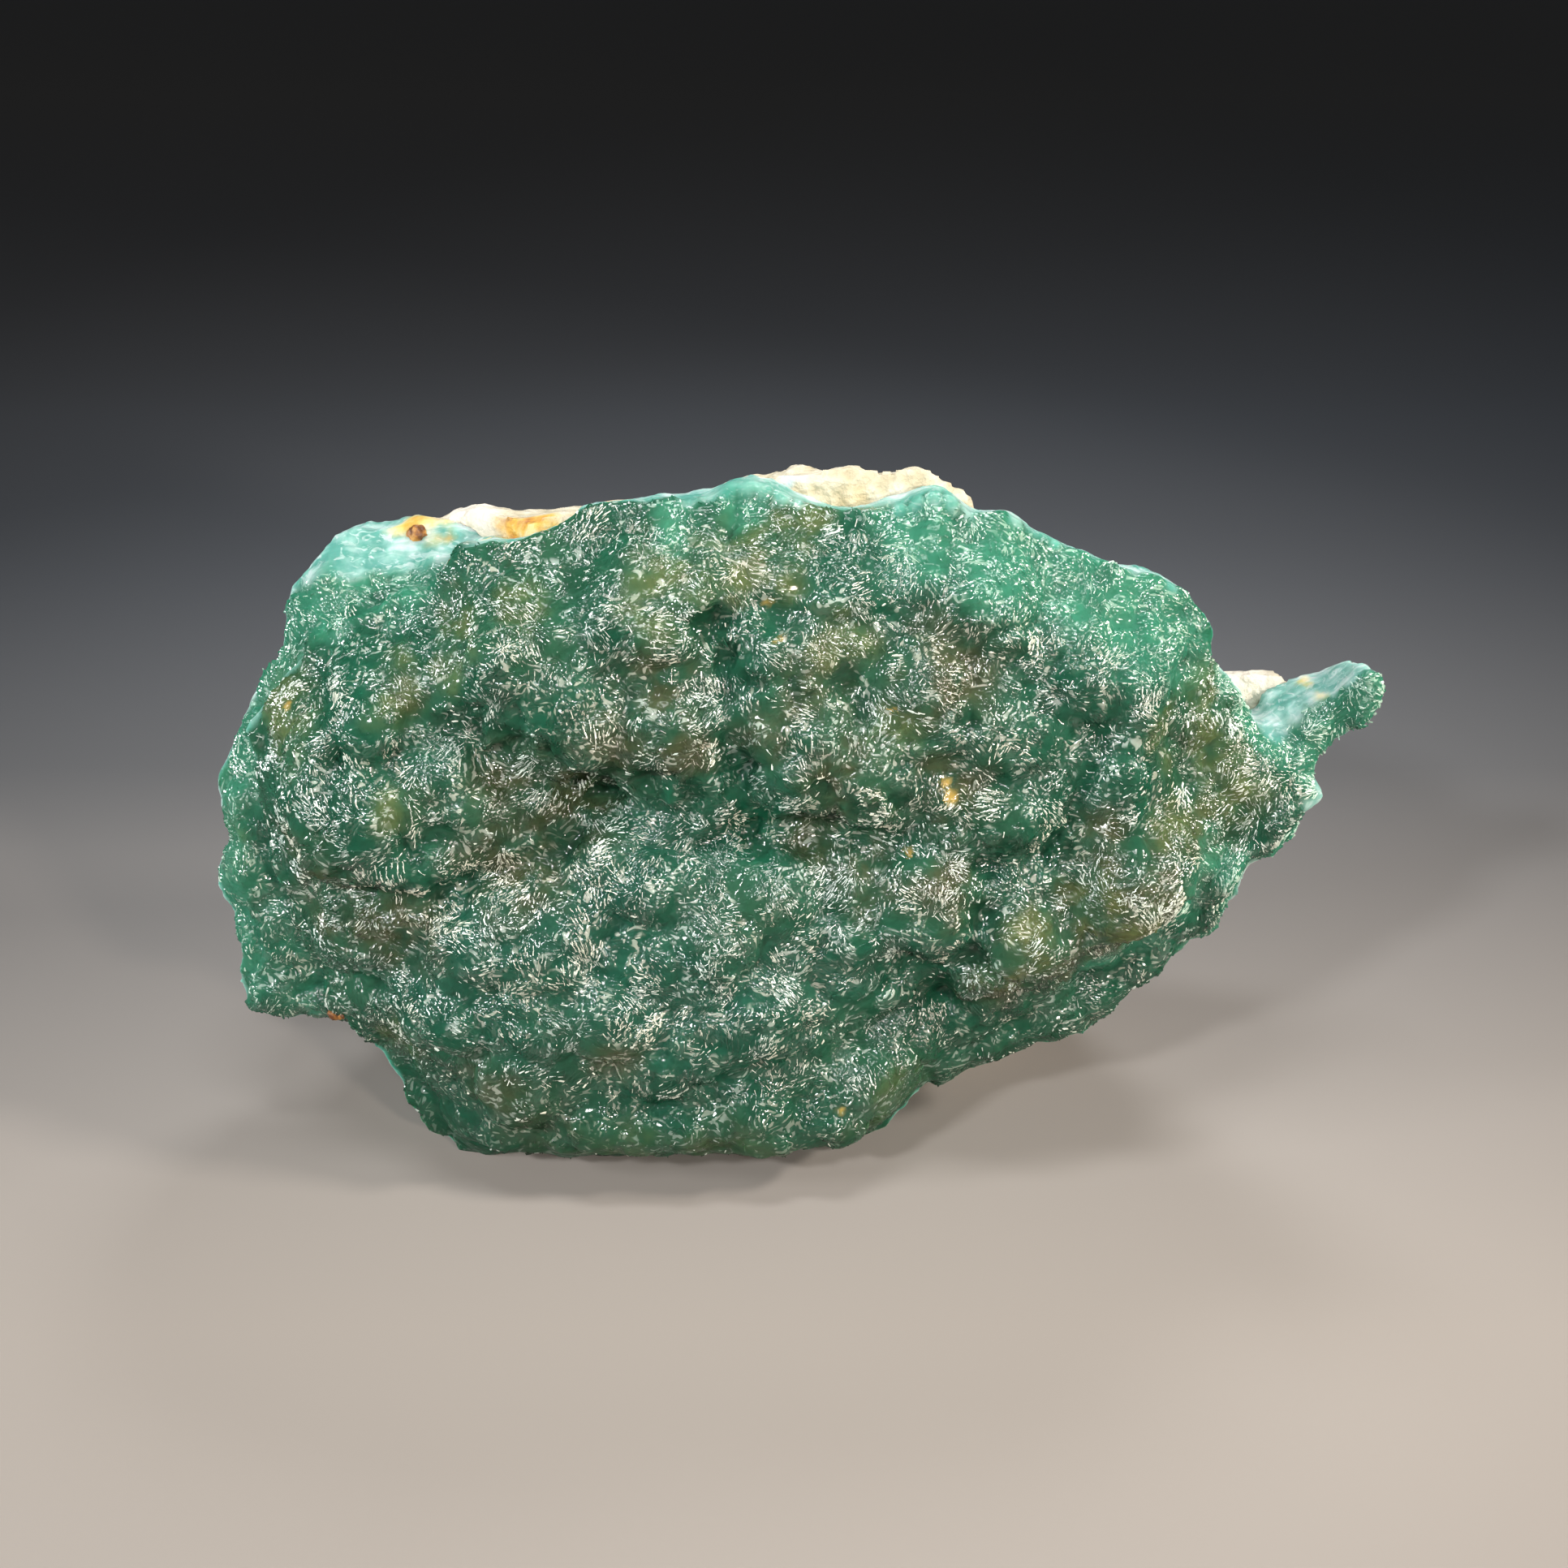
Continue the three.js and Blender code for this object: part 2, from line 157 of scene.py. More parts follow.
def smoothed(values, mean, rounds, hold_size=False):
    for _ in range(rounds):
        values = values + 0.5 * (mean(values) - values)
        if hold_size:
            values = values - 0.52 * (mean(values) - values)
    return values


def unit(vectors):
    return vectors / np.linalg.norm(vectors, axis=1)[:, None]


def blend(low, high, values):
    t = np.clip((values - low) / (high - low), 0, 1)
    return t * t * (3 - 2 * t)


def rough_noise(points, size, octaves=3):
    """Fractal noise from about -1 to 1 at each point; size is the width of its broadest hills."""
    return np.array([noise.fractal(Vector(p) / size, 1.0, 2.0, octaves) for p in points])


def near_spots(points, spots, soft=0.6):
    """1 inside any of the round spots, each x, z and radius, fading out over a share of the radius."""
    inside = np.zeros(len(points))
    for x, z, radius in spots:
        distance = np.hypot(points[:, 0] - x, points[:, 2] - z) / radius
        inside = np.maximum(inside, 1 - blend(1 - soft, 1 + soft, distance))
    return inside


def pulled(points, pulls):
    """Points near each x and z, out to a radius, moved by so much in x and z."""
    for x, z, radius, move_x, move_z in pulls:
        near = 1 - blend(0, radius, np.hypot(points[:, 0] - x, points[:, 2] - z))
        points = points + near[:, None] * [move_x, 0, move_z]
    return points


def keep(mesh, name, values):
    mesh.attributes.new(name, "FLOAT", "POINT").data.foreach_set("value", values.astype(np.float32))


def finish_piece(piece, node, material):
    """In metres, smooth, riding on the specimen, and standing for the frame's node."""
    mesh = piece.data
    mesh.transform(Matrix.Scale(MM, 4))
    mesh.materials.clear()
    mesh.materials.append(material)
    if node:
        mesh.shade_smooth()
        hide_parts(node)
    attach(piece, "root")


# Adamite crust

CRUST_CELL = 0.2  # of its mesh
KNOB_SPACING = 0.8  # between the middles of neighbouring crystal clusters
KNOB_RADIUS = (0.45, 0.75)
KNOB_HEIGHT = 0.16  # of its own radius
RELIEF_GAIN = -0.15  # below 0 it softens the creases and nodules of the frame's solid
NODULE_SPACING = 2.3  # round lumps, a size between the solid's nodules and the knobs
NODULE_RADIUS = (1.2, 1.9)
NODULE_HEIGHT = 0.24

# Spots where the crust differs, each x, z and radius
OLIVE = [
    (-3.7, 23.4, 1.4), (0.6, 25.0, 1.0), (-1.2, 23.9, 1.1), (0.1, 23.3, 0.8), (-17.7, 18.1, 1.2), (13.7, 18.0, 0.7),
    (15.4, 18.8, 1.0), (15.3, 16.8, 1.5), (14.3, 14.7, 1.0), (9.0, 10.9, 1.0), (11.3, 12.2, 1.0), (13.0, 11.2, 0.9),
    (8.6, 9.3, 1.2), (16.6, 14.7, 1.5), (-13.2, 16.0, 0.8), (4.5, 4.0, 1.2), (3.8, 18.5, 0.9), (-2.0, 2.2, 1.8),
    (-14.5, 5.4, 0.9), (2.2, 21.4, 1.1), (-20.7, 12.5, 0.7), (-5.4, 2.2, 1.5), (-11.2, 21.7, 0.7), (-8.9, 22.4, 0.8),
    (-13.3, 19.6, 0.9), (-11.4, 20.3, 0.6),
]  # fmt: skip
BROWN = [
    (-16.9, 13.7, 1.3), (-16.1, 11.2, 1.8), (-9.4, 16.8, 1.3), (-7.7, 15.4, 1.9), (-9.5, 13.6, 1.8),
    (-5.7, 17.8, 1.5), (-3.3, 18.0, 1.0), (-6.2, 6.7, 1.0), (5.9, 20.4, 1.8), (1.0, 20.0, 1.3), (2.4, 16.9, 1.5),
    (-0.7, 18.5, 1.0), (3.0, 13.1, 1.3), (5.8, 12.8, 1.3), (1.4, 14.5, 1.2), (-10.6, 5.1, 1.3), (-8.8, 2.5, 1.8),
    (5.9, 16.2, 1.8), (-13.8, 10.9, 1.5), (-4.1, 20.3, 1.5), (12.2, 12.6, 1.0), (13.6, 12.9, 1.3), (14.4, 12.2, 1.0), (12.8, 11.3, 1.2), (9.6, 11.3, 1.1), (9.0, 10.4, 1.3),
    (-3.0, 1.5, 1.5), (0.5, 1.2, 1.5), (3.0, 2.5, 1.2), (-6.5, 1.5, 1.2), (-9.5, 1.0, 1.2), (11.0, 11.5, 1.2),
    (10.5, 9.2, 1.3), (12.0, 10.2, 1.3), (8.0, 8.2, 1.3), (15.0, 12.5, 1.0), (16.0, 13.6, 1.2), (11.5, 14.0, 1.2),
]  # fmt: skip
TEAL = [
    (-12.1, 10.0, 2.7), (-7.9, 11.2, 3.0), (-4.3, 9.3, 3.3), (-0.4, 8.7, 2.7), (-4.4, 5.7, 2.7), (-9.5, 7.7, 2.1),
    (-4.8, 12.5, 2.4), (-11.3, 3.0, 1.8),
]  # fmt: skip
# paler green: the older crust's own colour, and a painted glow of light through the thin upper edges and flanges
PALE_AND_GLOW = [
    (4.8, 24.7, 1.5), (7.7, 23.9, 1.7), (10.3, 23.0, 1.7), (12.7, 21.9, 1.8), (14.5, 20.4, 1.2), (-1.2, 25.9, 1.0),
    (-3.8, 25.0, 0.8), (20.1, 14.2, 0.5), (15.9, 12.4, 0.9), (16.8, 11.9, 0.8), (15.2, 10.7, 0.8), (13.6, 9.5, 0.8),
    (12.0, 8.5, 0.7), (-15.4, 22.2, 1.0), (-14.3, 22.2, 0.9), (-13.2, 22.4, 0.8), (-16.3, 21.3, 0.9),
]  # fmt: skip
PITS = [
    (-6.4, 16.6, 0.8), (-10.6, 18.7, 0.6), (-9.3, 18.1, 0.5), (-7.8, 17.6, 0.5), (-2.3, 22.1, 0.6), (-1.9, 21.0, 0.5),
    (-4.7, 16.3, 0.6), (-3.0, 16.2, 0.5), (-1.4, 17.1, 0.5), (2.2, 20.1, 0.5), (-0.9, 20.1, 0.4), (0.6, 20.0, 0.4),
    (2.8, 15.9, 0.5), (4.3, 16.0, 0.4), (6.5, 19.0, 0.5), (9.9, 13.7, 0.6), (6.8, 9.8, 0.7), (5.9, 7.9, 0.7),
    (7.3, 11.4, 0.6), (-13.0, 14.2, 0.5), (-7.7, 14.0, 0.7), (-16.1, 11.4, 0.6), (0.8, 15.1, 0.5), (-1.0, 14.2, 0.5),
    (1.4, 16.6, 0.4), (8.1, 14.2, 0.5),
]  # fmt: skip
PIT_DEPTH = 0.25
YELLOW = [
    (5.8, 16.7, 0.15), (6.0, 16.2, 0.2), (5.9, 16.4, 0.12), (3.9, 19.3, 0.1), (0.0, 21.6, 0.1), (2.3, 4.2, 0.15),
    (-0.4, 22.6, 0.12), (4.6, 13.9, 0.1), (-17.7, 18.4, 0.1),
]  # fmt: skip
RUST = [
    (-10.5, 23.75, 0.45), (-9.7, 23.9, 0.6), (-8.9, 24.0, 0.6), (-8.2, 24.2, 0.45), (-13.9, 23.7, 0.5), (-13.2, 23.7, 0.5),
    (-12.5, 23.6, 0.35), (20.0, 17.75, 0.28), (-17.1, 5.5, 0.5),
]  # fmt: skip
BLUISH = [
    (-9.2, 23.6, 0.35), (0.2, 25.9, 0.3),
]  # fmt: skip
# whiter rock: chalky where freshly broken, and painted light on the wedge that faces the camera
CHALKY_AND_LIT = [(16.5, 17.6, 1.0), (17.3, 17.2, 1.0), (18.3, 17.3, 1.0), (-11.2, 23.9, 0.7), (-12.1, 23.6, 0.6), (-7.0, 24.7, 0.4), (-8.3, 24.7, 0.4), (-9.6, 24.7, 0.5), (-10.9, 24.5, 0.5)]
HORN_BREAK = [
    (18.2, 17.4, 0.6), (18.6, 16.6, 0.55), (19.1, 17.2, 0.6), (18.9, 18.0, 0.8), (19.7, 17.8, 0.5), (20.4, 18.2, 0.4),
    (21.0, 18.5, 0.4), (21.6, 18.8, 0.3),
]  # fmt: skip
CHIPS = [
    (20.1, 14.5, 0.35), (19.9, 13.9, 0.4), (19.7, 13.3, 0.25), (-3.2, 25.5, 0.35), (-2.5, 25.7, 0.4), (-1.9, 25.9, 0.45),
    (-1.2, 26.0, 0.45), (-0.6, 25.9, 0.4), (0.1, 25.7, 0.35), (0.7, 25.5, 0.25), (8.3, 24.6, 0.25), (9.8, 24.0, 0.25),
    (11.2, 23.5, 0.25), (12.7, 23.0, 0.3), (14.0, 22.4, 0.3), (4.2, 25.1, 0.25), (4.8, 25.1, 0.3), (5.4, 25.1, 0.3),
    (6.0, 25.0, 0.3), (6.6, 24.9, 0.25),
]  # fmt: skip
# Places that stand out further than in the solid: x, z, radius, and how far they move in x and z
PULLS = [
    (21.7, 18.2, 1.1, 0.1, 0.5), (19.9, 14.1, 0.9, 0.45, 0.0), (5.6, 25.0, 1.5, 0.0, 0.5), (8.0, 24.6, 1.3, 0.0, 0.25), (-16.3, 23.3, 1.9, -0.1, 0.4),
    (-9.9, 23.3, 1.5, 0.0, -0.3),
]  # fmt: skip
LEDGE_BREAK = (-17.0, 21.9, 0.12)  # the ledge is broken off bare above a line: x, z and slope
LEDGE_RIGHT = -9.5


def spaced_points(points, spacing, order):
    """Indices of points that are at least spacing apart, taken in the order given."""
    taken = {}
    chosen = []
    for k in order:
        p = points[k]
        cell = tuple((p // spacing).astype(int))
        near = (
            q
            for dx in (-1, 0, 1)
            for dy in (-1, 0, 1)
            for dz in (-1, 0, 1)
            for q in taken.get((cell[0] + dx, cell[1] + dy, cell[2] + dz), ())
        )
        if all(((points[q] - p) ** 2).sum() > spacing * spacing for q in near):
            taken.setdefault(cell, []).append(k)
            chosen.append(k)
    return np.array(chosen)


def round_swell(points, centres, radii, height):
    """How far round lumps swell at each point, and the lump that is nearest to it."""
    tree = KDTree(len(centres))
    for k, centre in enumerate(centres):
        tree.insert(centre, k)
    tree.balance()
    swell = np.zeros(len(points))
    owner = np.zeros(len(points), dtype=int)
    for k, p in enumerate(points):
        best = 0.0
        for _, knob, distance in tree.find_n(p, 4):
            inside = 1 - (distance / radii[knob]) ** 2
            if inside > 0:
                rise = height * radii[knob] * math.sqrt(inside)
                if rise > best:
                    best, owner[k] = rise, knob
        if best == 0.0:
            owner[k] = tree.find(p)[1]
        swell[k] = best
    return swell, owner


def grow_crust():
    mesh, points = fine_points("adamite_crust", CRUST_CELL)
    mean = neighbour_mean(mesh)
    points = smoothed(points, mean, 5, hold_size=True)
    normals = normals_of(mesh, points)
    broad_normals = unit(smoothed(normals, mean, 12))

    # crystals cover what faces outward; the rims, the seam and the broken tops are bare
    facing = broad_normals @ FACE_NORMAL
    ragged = rough_noise(points, 1.6)
    x, z = points[:, 0], points[:, 2]
    behind = points[:, 1] - (RIM_Y + LEAN * z)  # the plane of the front crust's rim
    break_x, break_z, break_slope = LEDGE_BREAK
    above_break = z - break_z - break_slope * (x - break_x)
    ledge_top = (1 - blend(-0.5, 0.5, x - LEDGE_RIGHT)) * blend(-0.2, 0.3, above_break + 0.3 * ragged)
    ledge_top *= blend(0.9, 1.3, behind)
    horn_break = near_spots(points, HORN_BREAK, 0.3) * blend(0.2, 0.5, behind)
    outside = np.maximum(blend(0.12, 0.42, facing + 0.16 * ragged), blend(0.2, 0.6, -behind))
    # the front crust's rim carries crystals where it stands before the ledge
    ledge_side = (1 - blend(-11.5, -10.5, x)) * (1 - blend(0.9, 1.4, behind)) * blend(19.5, 20.5, z)
    outside = np.maximum(outside, ledge_side)
    chipped = near_spots(points, CHIPS, 0.3)
    crystal = outside * (1 - np.maximum(np.maximum(ledge_top, horn_break), chipped))

    # how deep a point lies in a crease: below the mean of a wide patch around it
    wide = smoothed(points, mean, 60)
    depth = ((wide - points) * broad_normals).sum(axis=1)
    points = points - broad_normals * (crystal * RELIEF_GAIN * depth)[:, None]

    order = rng.permutation(len(points))
    lumps = spaced_points(points, NODULE_SPACING, order)
    lump_radii = rng.uniform(*NODULE_RADIUS, len(lumps))
    lump_swell, _ = round_swell(points, points[lumps], lump_radii, NODULE_HEIGHT)
    middles = spaced_points(points, KNOB_SPACING, order[::-1])
    radii = rng.uniform(*KNOB_RADIUS, len(middles))
    swell, owner = round_swell(points, points[middles], radii, KNOB_HEIGHT)
    grain = rough_noise(points, 0.55, 2)
    pits = near_spots(points + 0.3 * np.stack([grain, grain, ragged], axis=1), PITS, 0.5) * crystal
    lift = crystal * (swell + lump_swell - 0.25) - PIT_DEPTH * pits + 0.04 * grain + 0.07 * (1 - crystal) * rough_noise(points, 1.1)
    points = points + broad_normals * lift[:, None]
    points = pulled(points, PULLS)
    points[:, 2] = np.maximum(points[:, 2], 0.0)

    # the older crust behind is paler, at the left end more than at the horn; with the spots it also paints the glow of
    # light through thin crust
    older = blend(0.3, 0.7, behind) * np.maximum(0.8 * (1 - blend(-11.5, -9.5, x)), blend(14.5, 16.5, x))
    stray = points + 0.45 * np.stack([ragged, grain, rough_noise(points + 50.0, 1.3)], axis=1)
    growth = {
        "crystal": crystal,
        # painted shade: darker, deeper green laid into the creases, the pits and towards the foot, where shade falls;
        # it also thins the crystals and the coat there
        "painted_shade": np.maximum(blend(0.0, 0.7, depth + 0.5 * (0.2 - lump_swell)), np.maximum(0.75 * pits, 0.85 * (1 - blend(0, 9, z)))),
        "knob": np.clip(swell / (KNOB_HEIGHT * KNOB_RADIUS[1]), 0, 1),
        "olive": near_spots(stray, OLIVE),
        "brown": near_spots(stray, BROWN),
        "teal": near_spots(stray, TEAL),
        "pale_and_glow": np.maximum(near_spots(stray, PALE_AND_GLOW), older),
        "yellow": near_spots(points, YELLOW, 0.4),
        "rust": near_spots(stray, RUST) * (1 - crystal) * np.maximum(blend(1.0, 1.6, behind), 1 - blend(15, 17, z)),
        "layer": behind + 0.15 * ragged + 3.2 * blend(15.5, 17.0, x) - 1.2 * (1 - blend(19.0, 20.5, z)),
    }
    front = blend(-0.1, 0.3, facing)
    for name, values in growth.items():
        if name not in ("crystal", "painted_shade", "knob", "rust", "layer"):
            growth[name] = values * front
        keep(mesh, name, growth[name])
    crust = object_of("adamite_crust_grown", mesh)
    normals = normals_of(mesh, points)
    bend = (normals * unit(smoothed(normals, mean, 6))).sum(axis=1)
    sheaves = {
        "points": points,
        "normals": normals,
        "flat": blend(0.8, 0.96, bend) * blend(0.15, 0.45, normals @ FACE_NORMAL),
        "owner": owner,
        "middles": points[middles],
        "growth": growth,
    }
    return crust, sheaves


# Crystals

CRYSTALS = 76000
CRYSTAL_PIECES = 4
BLADE_LENGTH = (0.12, 0.33)
BLADE_WIDTH = (0.028, 0.05)
CLUMP_SIZE = 1.5  # of the patches where they stand close
PAINTED_GLINT_SHARE = (0.05, 0.6)  # share of them with painted glints, white laid into their colour, apart and where they stand close
BLADE_RISE = (0.02, 0.045)
BLADE_ROOT = 0.04  # sunk in the crust
BLADE_ROUND = 0.65  # how far its sides turn away from its back
# corners of a blade with a roof-shaped back: along, across, up
BLADE = np.array([[-1, -1, 0], [1, -1, 0], [1, 1, 0], [-1, 1, 0], [-0.7, 0, 1], [0.7, 0, 1]]) * [0.5, 0.5, 1]
BLADE_FACES = [(0, 3, 2, 1), (0, 1, 5, 4), (2, 3, 4, 5), (1, 2, 5), (3, 0, 4)]


def grow_crystals(sheaves):
    """Blades in sheaves: on one knob they lie nearly side by side and fan out a little."""
    points, normals, growth = sheaves["points"], sheaves["normals"], sheaves["growth"]
    count = len(sheaves["middles"])
    on_horn = blend(15.5, 17.0, points[:, 0])
    clump = blend(-0.25, 0.35, rough_noise(points, CLUMP_SIZE, 2) + 0.5 * (growth["knob"] - 0.5))
    clump = np.maximum(clump, 0.6 * on_horn)
    thick = rng.uniform(0.3, 1.0, count)[sheaves["owner"]] * (0.08 + 0.92 * clump)
    chance = growth["crystal"] ** 4 * thick * (1 - growth["painted_shade"]) ** 2 * (0.35 + 0.65 * growth["knob"])
    on_ledge = 1 - blend(-8.0, -6.0, points[:, 0])
    chance *= (1 - 0.4 * growth["pale_and_glow"] * (1 - on_horn) * (1 - on_ledge)) * (1 + 0.8 * on_horn) * sheaves["flat"]
    chance *= 0.5 + 0.5 * blend(0.0, 6.0, points[:, 2])
    roots = rng.choice(len(points), CRYSTALS, p=chance / chance.sum())
    knobs = sheaves["owner"][roots]
    # towards the foot they lie more and more upright
    low = 1 - blend(2.0, 14.0, sheaves["middles"][:, 2])
    lie = (rng.normal(size=(count, 3)) + low[:, None] * [0.5, 0.0, 1.4])[knobs]
    fan = rng.uniform(0.3, 1.1, count)[knobs]
    up = unit(normals[roots] + rng.normal(scale=0.12, size=(CRYSTALS, 3)))
    outward = points[roots] - sheaves["middles"][knobs]
    along = unit(lie) + fan[:, None] * outward
    along += rng.normal(scale=0.11, size=along.shape)
    along = unit(along - (along * up).sum(axis=1)[:, None] * up)
    across = np.cross(up, along)
    place = points[roots] + along * rng.normal(scale=0.08, size=(CRYSTALS, 1))
    size = rng.uniform(0, 1, (3, CRYSTALS))
    length = BLADE_LENGTH[0] + (BLADE_LENGTH[1] - BLADE_LENGTH[0]) * size[0] ** 1.5
    width = BLADE_WIDTH[0] + (BLADE_WIDTH[1] - BLADE_WIDTH[0]) * size[1]
    rise = BLADE_RISE[0] + (BLADE_RISE[1] - BLADE_RISE[0]) * size[2]
    corners = (
        place[:, None, :]
        + BLADE[None, :, 0, None] * (along * length[:, None])[:, None, :]
        + BLADE[None, :, 1, None] * (across * width[:, None])[:, None, :]
        + (BLADE[None, :, 2, None] * (rise + BLADE_ROOT)[:, None, None] - BLADE_ROOT) * up[:, None, :]
    )
    turns = (
        up[:, None, :]
        + BLADE_ROUND * BLADE[None, :, 0, None] * along[:, None, :]
        + 2 * BLADE_ROUND * BLADE[None, :, 1, None] * across[:, None, :]
    )
    corners[..., 2] = np.maximum(corners[..., 2], 0.0)
    # painted glints: the share of blades with white laid into their colour, more on the horn and where they stand
    # close, fewer towards the foot, the top and the left end
    gleam = rng.uniform(0, 1, count)[knobs] * clump[roots]
    share = PAINTED_GLINT_SHARE[0] + (PAINTED_GLINT_SHARE[1] - PAINTED_GLINT_SHARE[0]) * gleam**1.8
    height = points[roots, 2]
    share *= (1 + 0.8 * on_horn[roots]) * (0.35 + 0.65 * blend(0.0, 13.0, height)) * (1 - 0.3 * blend(18, 22, height))
    share *= 0.6 + 0.4 * blend(-19.5, -17.5, points[roots, 0])
    painted_glint_amount = (rng.uniform(size=CRYSTALS) < 1.2 * share) * (0.35 + 0.65 * rng.uniform(0, 1, CRYSTALS))
    return corners, turns, roots, painted_glint_amount


def blade_mesh(name, corners, turns):
    count = len(corners)
    mesh = bpy.data.meshes.new(name)
    first = np.arange(count)[:, None] * len(BLADE)
    loops = np.concatenate([first + np.array(face)[None, :] for face in BLADE_FACES], axis=1).ravel()
    sizes = np.tile([len(face) for face in BLADE_FACES], count)
    mesh.vertices.add(count * len(BLADE))
    mesh.vertices.foreach_set("co", corners.ravel())
    mesh.loops.add(len(loops))
    mesh.loops.foreach_set("vertex_index", loops)
    mesh.polygons.add(len(sizes))
    mesh.polygons.foreach_set("loop_start", np.concatenate([[0], np.cumsum(sizes)[:-1]]))
    mesh.polygons.foreach_set("loop_total", sizes)
    mesh.update(calc_edges=True)
    mesh.shade_smooth()
    mesh.normals_split_custom_set_from_vertices(unit(turns.reshape(-1, 3)).tolist())
    return mesh


# Rock

ROCK_CELL = 0.24
ROCK_PULLS = [(7.9, 24.5, 1.3, 0.0, -0.6)]


def break_rock():
    mesh, points = fine_points("rock_matrix", ROCK_CELL)
    mean = neighbour_mean(mesh)
    points = smoothed(points, mean, 3, hold_size=True)
    normals = normals_of(mesh, points)
    # it closes on the crust's back
    seam = blend(0.3, 0.8, normals @ FACE_NORMAL)
    coarse = rough_noise(points, 2.6, 4)
    fine = rough_noise(points, 0.7, 3)
    lift = 0.3 * seam + (1 - 0.7 * seam) * (0.02 + 0.13 * coarse + 0.09 * fine)
    points = pulled(points + normals * lift[:, None], ROCK_PULLS)
    points[:, 2] = np.maximum(points[:, 2], 0.0)
    set_points(mesh, points)
    stray = points + 0.4 * np.stack([coarse, fine, rough_noise(points + 50.0, 1.3)], axis=1)
    behind = points[:, 1] - (RIM_Y + LEAN * points[:, 2])
    keep(mesh, "rust", near_spots(stray, RUST) * (1 - blend(1.8, 2.8, behind + 0.5 * fine)))
    keep(mesh, "bluish", near_spots(stray, BLUISH) * (1 - blend(2.0, 3.0, behind)))
    keep(mesh, "chalky_and_lit", near_spots(stray, CHALKY_AND_LIT) * (1 - blend(8.5, 9.5, behind)))
    keep(mesh, "weathered", blend(6.0, 11.0, behind + 2.0 * coarse))
    return object_of("rock_matrix_broken", mesh)


# Loose grains of limonite, each x, z and radius
GRAINS = [
    (-13.5, 23.1, 0.34), (-17.3, 5.6, 0.28), (-16.8, 5.3, 0.20),
    (-17.0, 5.9, 0.13),
]  # fmt: skip


def lay_grains(points, normals):
    """One mesh of all the grains, each a rough ball that is half sunk in the crust."""
    lumps = bmesh.new()
    outer = (normals @ FACE_NORMAL > 0.1) | (normals[:, 2] > 0.5)
    outer_points, outer_normals = points[outer], normals[outer]
    for x, z, radius in GRAINS:
        at = np.argmin(np.hypot(outer_points[:, 0] - x, outer_points[:, 2] - z) + 0.05 * outer_points[:, 1])
        middle = Vector(outer_points[at] + 0.1 * radius * outer_normals[at])
        ball = bmesh.ops.create_icosphere(lumps, subdivisions=3, radius=radius)["verts"]
        for vertex in ball:
            rough = noise.fractal(vertex.co / radius + middle, 1.0, 2.0, 3)
            vertex.co = middle + vertex.co * (1 + 0.55 * rough)
            vertex.co.z = max(vertex.co.z, 0.0)
    mesh = bpy.data.meshes.new("limonite_grains")
    lumps.to_mesh(mesh)
    lumps.free()
    mesh.shade_smooth()
    return object_of("limonite_grains", mesh)


# Materials


def linear(hex_colour, alpha=1.0):
    """A #rrggbb colour, as seen on a screen, in Blender's linear values."""
    parts = [int(hex_colour[k : k + 2], 16) / 255 for k in (1, 3, 5)]
    return tuple(c / 12.92 if c <= 0.04045 else ((c + 0.055) / 1.055) ** 2.4 for c in parts) + (alpha,)


def add(tree, kind, settings=None, inputs=None):
    """A node of a kind: settings are its properties; inputs are values, or the sockets linked to it."""
    node = tree.nodes.new(kind)
    for name, value in (settings or {}).items():
        setattr(node, name, value)
    for name, value in (inputs or {}).items():
        socket = node.inputs[name]
        if isinstance(value, bpy.types.NodeSocket):
            tree.links.new(value, socket)
        else:
            socket.default_value = value
    return node


def new_material(name):
    material = bpy.data.materials.new(name)
    material.use_nodes = True
    material.node_tree.nodes.clear()
    return material, material.node_tree


def stops(tree, value, colours):
    """Colours along a value: pairs of a place from 0 to 1 and a #rrggbb colour."""
    ramp = add(tree, "ShaderNodeValToRGB", inputs={"Fac": value})
    marks = ramp.color_ramp.elements
    while len(marks) < len(colours):
        marks.new(0.5)
    for mark, (place, colour) in zip(marks, colours):
        mark.position = place
        mark.color = linear(colour)
    return ramp.outputs["Color"]


def mixed(tree, amount, low, high):
    node = add(tree, "ShaderNodeMix", {"data_type": "RGBA"})
    for socket, value in ((node.inputs[0], amount), (node.inputs[6], low), (node.inputs[7], high)):
        if isinstance(value, bpy.types.NodeSocket):
            tree.links.new(value, socket)
        else:
            socket.default_value = value
    return node.outputs[2]


def times(tree, value, factor):
    return add(tree, "ShaderNodeMath", {"operation": "MULTIPLY"}, {0: value, 1: factor}).outputs[0]


def surface(tree, shader):
    add(tree, "ShaderNodeOutputMaterial", inputs={"Surface": shader.outputs[0]})


